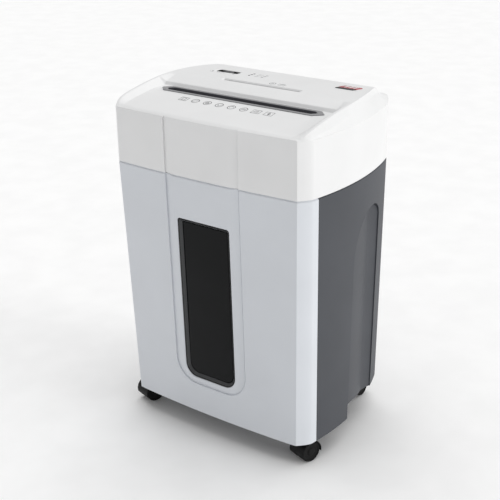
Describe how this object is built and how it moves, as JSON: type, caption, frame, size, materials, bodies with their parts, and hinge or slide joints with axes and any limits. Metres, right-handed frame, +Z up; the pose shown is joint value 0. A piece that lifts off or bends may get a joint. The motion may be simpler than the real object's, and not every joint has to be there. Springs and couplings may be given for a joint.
{
  "type": "paper shredder",
  "caption": "Upright office paper shredder on swivel casters: an arched cutting head with a feed throat and card slot over a cabinet with a windowed pull-out bin and side grips.",
  "frame": {"origin": "on the floor, under the middle of the bounding box", "axes": "+Z up, +Y from the drawer front to the back panel, +X to the right seen from the front"},
  "size_m": [0.332, 0.2467, 0.4849],
  "materials": {
    "shell_white": "satin off-white",
    "drawer_grey": "satin pale grey",
    "cabinet_dark": "fine satin",
    "throat_dark": "satin",
    "black_plastic": "satin",
    "smoked": "smoked, glossy",
    "badge_red": "gloss",
    "steel": "brushed",
    "gear_nylon": "satin",
    "board_green": "satin",
    "bin_grey": "satin",
    "rubber": "matte"
  },
  "bodies": {
    "cabinet": {"head_cover": "shell_white", "cabinet_side_left": "cabinet_dark", "cabinet_side_right": "cabinet_dark", "cabinet_back": "cabinet_dark", "cabinet_base": "cabinet_dark", "throat_bezel": "throat_dark", "card_chute": "throat_dark", "switch_bezel": "black_plastic", "motor_capacitor": "black_plastic", "reed_sensor": "black_plastic", "stripper_front": "black_plastic", "stripper_rear": "black_plastic", "indicator_lens": "smoked", "badge": "badge_red", "frame_plate_left": "steel", "frame_plate_right": "steel", "tie_rod_front": "steel", "tie_rod_rear": "steel", "tie_rod_low": "steel", "idler_pin": "steel", "motor_can": "steel", "motor_cradle": "steel", "runner_left": "steel", "runner_right": "steel", "back_screw_1": "steel", "back_screw_2": "steel", "back_screw_3": "steel", "back_screw_4": "steel", "bush_front_left": "gear_nylon", "bush_front_right": "gear_nylon", "bush_rear_left": "gear_nylon", "bush_rear_right": "gear_nylon", "control_board": "board_green", "head_base": "bin_grey", "cord_gland": "rubber"},
    "drawer": {"drawer_front": "drawer_grey", "window_frame": "black_plastic", "window_pane": "smoked", "waste_bin": "bin_grey", "bin_bracket_left": "bin_grey", "bin_bracket_right": "bin_grey", "drawer_magnet": "steel"},
    "switch": {"switch_knob": "throat_dark"},
    "front_cutter": {"cutter_front": "steel", "sync_gear_front": "gear_nylon"},
    "rear_cutter": {"cutter_rear": "steel", "sync_gear_rear": "gear_nylon", "drive_gear": "gear_nylon"},
    "idler": {"idler_gear": "gear_nylon"},
    "motor_rotor": {"motor_pinion": "steel", "motor_fan": "black_plastic"},
    "caster_front_left": {"caster_hood_front_left": "black_plastic"},
    "wheels_front_left": {"caster_wheels_front_left": "rubber"},
    "caster_front_right": {"caster_hood_front_right": "black_plastic"},
    "wheels_front_right": {"caster_wheels_front_right": "rubber"},
    "caster_rear_left": {"caster_hood_rear_left": "black_plastic"},
    "wheels_rear_left": {"caster_wheels_rear_left": "rubber"},
    "caster_rear_right": {"caster_hood_rear_right": "black_plastic"},
    "wheels_rear_right": {"caster_wheels_rear_right": "rubber"}
  },
  "joints": [
    {"name": "drawer_slide", "type": "slide", "parent": "cabinet", "child": "drawer", "axis": [0, -1, 0], "range_m": [0, 0.185]},
    {"name": "switch_slide", "type": "slide", "parent": "cabinet", "child": "switch", "axis": [1, 0, 0], "range_m": [-0.009, 0.009]},
    {"name": "front_cutter_spin", "type": "hinge", "parent": "cabinet", "child": "front_cutter", "pos_m": [0, -0.057, 0.418], "axis": [1, 0, 0], "continuous": true},
    {"name": "rear_cutter_spin", "type": "hinge", "parent": "cabinet", "child": "rear_cutter", "pos_m": [0, -0.019, 0.418], "axis": [1, 0, 0], "continuous": true},
    {"name": "idler_spin", "type": "hinge", "parent": "cabinet", "child": "idler", "pos_m": [0, 0.01577, 0.42732], "axis": [1, 0, 0], "continuous": true},
    {"name": "motor_spin", "type": "hinge", "parent": "cabinet", "child": "motor_rotor", "pos_m": [0, 0.0521, 0.41799], "axis": [1, 0, 0], "continuous": true},
    {"name": "caster_swivel_front_left", "type": "hinge", "parent": "cabinet", "child": "caster_front_left", "pos_m": [-0.14, -0.071, 0.04], "axis": [0, 0, 1], "continuous": true},
    {"name": "wheel_roll_front_left", "type": "hinge", "parent": "caster_front_left", "child": "wheels_front_left", "pos_m": [-0.14351, -0.08248, 0.015], "axis": [0.9563, -0.2924, 0], "continuous": true},
    {"name": "caster_swivel_front_right", "type": "hinge", "parent": "cabinet", "child": "caster_front_right", "pos_m": [0.14, -0.071, 0.04], "axis": [0, 0, 1], "continuous": true},
    {"name": "wheel_roll_front_right", "type": "hinge", "parent": "caster_front_right", "child": "wheels_front_right", "pos_m": [0.13649, -0.08248, 0.015], "axis": [0.9563, -0.2924, 0], "continuous": true},
    {"name": "caster_swivel_rear_left", "type": "hinge", "parent": "cabinet", "child": "caster_rear_left", "pos_m": [-0.1, 0.0945, 0.04], "axis": [0, 0, 1], "continuous": true},
    {"name": "wheel_roll_rear_left", "type": "hinge", "parent": "caster_rear_left", "child": "wheels_rear_left", "pos_m": [-0.1, 0.1065, 0.015], "axis": [-1, 0, 0], "continuous": true},
    {"name": "caster_swivel_rear_right", "type": "hinge", "parent": "cabinet", "child": "caster_rear_right", "pos_m": [0.1, 0.0945, 0.04], "axis": [0, 0, 1], "continuous": true},
    {"name": "wheel_roll_rear_right", "type": "hinge", "parent": "caster_rear_right", "child": "wheels_rear_right", "pos_m": [0.1, 0.1065, 0.015], "axis": [-1, 0, 0], "continuous": true}
  ],
  "couplings": [
    {"joint": "rear_cutter_spin", "follows": "front_cutter_spin", "ratio": -1},
    {"joint": "idler_spin", "follows": "front_cutter_spin", "ratio": 3},
    {"joint": "motor_spin", "follows": "front_cutter_spin", "ratio": -12}
  ]
}
